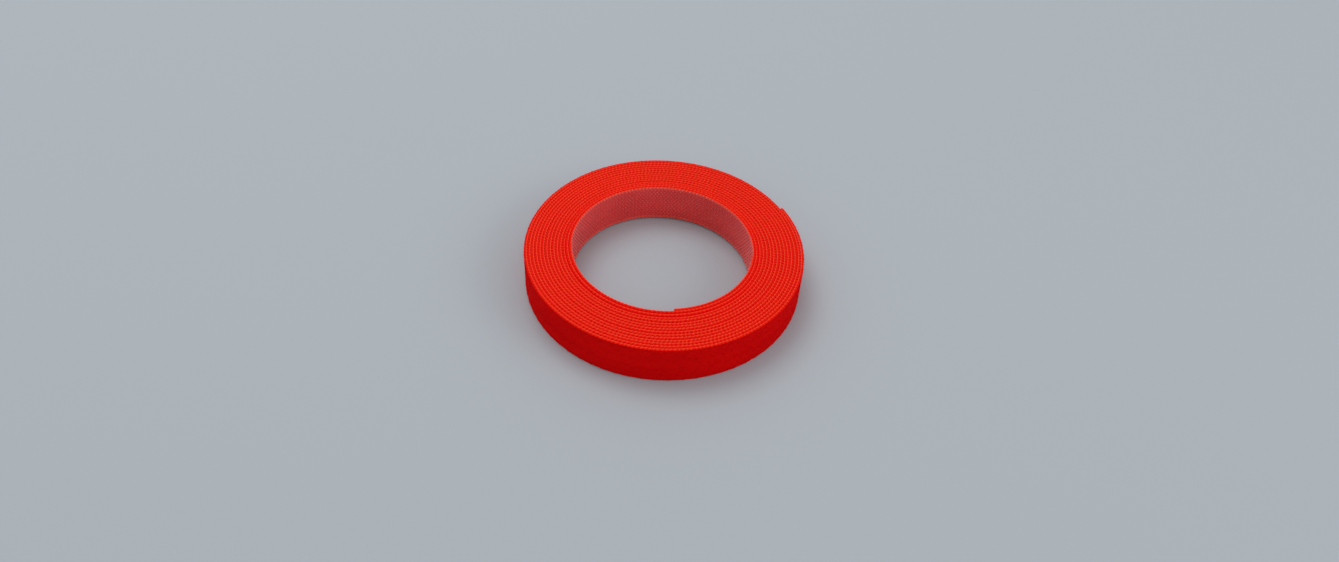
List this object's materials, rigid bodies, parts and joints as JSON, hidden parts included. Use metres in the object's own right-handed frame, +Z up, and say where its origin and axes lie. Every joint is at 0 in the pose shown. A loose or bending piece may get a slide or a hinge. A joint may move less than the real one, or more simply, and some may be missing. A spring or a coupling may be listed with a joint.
{
  "type": "hook and loop tape roll",
  "caption": "Coreless roll of back-to-back hook and loop tape lying flat, hook film facing the bore and loop fabric facing outwards, with both free ends able to peel off the roll.",
  "frame": {"origin": "the roll's axis, at the level of the edges that the roll lies on", "axes": "+Z up along the roll's axis, +X to the right and +Y away from the viewer in the picture; the tape's radius grows anticlockwise seen from above"},
  "size_m": [0.1336, 0.1325, 0.02],
  "materials": {
    "hook_film": "moulded plastic film with a field of tiny hooks, slightly translucent red",
    "loop_fabric": "brushed knit with a low loop pile, matt deep red"
  },
  "bodies": {
    "roll": {"wound_hook_film": "hook_film", "wound_loop_fabric": "loop_fabric"},
    "outer_stretch_1": {"outer_end_hook_film_1": "hook_film", "outer_end_loop_fabric_1": "loop_fabric"},
    "outer_stretch_2": {"outer_end_hook_film_2": "hook_film", "outer_end_loop_fabric_2": "loop_fabric"},
    "outer_stretch_3": {"outer_end_hook_film_3": "hook_film", "outer_end_loop_fabric_3": "loop_fabric"},
    "outer_stretch_4": {"outer_end_hook_film_4": "hook_film", "outer_end_loop_fabric_4": "loop_fabric"},
    "inner_stretch_1": {"inner_end_hook_film_1": "hook_film", "inner_end_loop_fabric_1": "loop_fabric"},
    "inner_stretch_2": {"inner_end_hook_film_2": "hook_film", "inner_end_loop_fabric_2": "loop_fabric"},
    "inner_stretch_3": {"inner_end_hook_film_3": "hook_film", "inner_end_loop_fabric_3": "loop_fabric"}
  },
  "joints": [
    {"name": "outer_peel", "type": "hinge", "parent": "roll", "child": "outer_stretch_1", "pos_m": [0.0672, -0.00461, 0.01], "axis": [0, 0, -1], "range_deg": [0, 40]},
    {"name": "outer_bend_2", "type": "hinge", "parent": "outer_stretch_1", "child": "outer_stretch_2", "pos_m": [0.06718, 0.00553, 0.01], "axis": [0, 0, -1], "range_deg": [0, 40]},
    {"name": "outer_bend_3", "type": "hinge", "parent": "outer_stretch_2", "child": "outer_stretch_3", "pos_m": [0.06563, 0.01556, 0.01], "axis": [0, 0, -1], "range_deg": [0, 40]},
    {"name": "outer_bend_4", "type": "hinge", "parent": "outer_stretch_3", "child": "outer_stretch_4", "pos_m": [0.06259, 0.02525, 0.01], "axis": [0, 0, -1], "range_deg": [0, 40]},
    {"name": "inner_peel", "type": "hinge", "parent": "roll", "child": "inner_stretch_1", "pos_m": [0.03013, -0.02882, 0.01], "axis": [0, 0, -1], "range_deg": [0, 35]},
    {"name": "inner_bend_2", "type": "hinge", "parent": "inner_stretch_1", "child": "inner_stretch_2", "pos_m": [0.02319, -0.03457, 0.01], "axis": [0, 0, -1], "range_deg": [0, 35]},
    {"name": "inner_bend_3", "type": "hinge", "parent": "inner_stretch_2", "child": "inner_stretch_3", "pos_m": [0.01518, -0.03869, 0.01], "axis": [0, 0, -1], "range_deg": [0, 35]}
  ],
  "couplings": [
    {"joint": "outer_bend_2", "follows": "outer_peel", "ratio": 1},
    {"joint": "outer_bend_3", "follows": "outer_peel", "ratio": 1},
    {"joint": "outer_bend_4", "follows": "outer_peel", "ratio": 1},
    {"joint": "inner_bend_2", "follows": "inner_peel", "ratio": 1},
    {"joint": "inner_bend_3", "follows": "inner_peel", "ratio": 1}
  ]
}
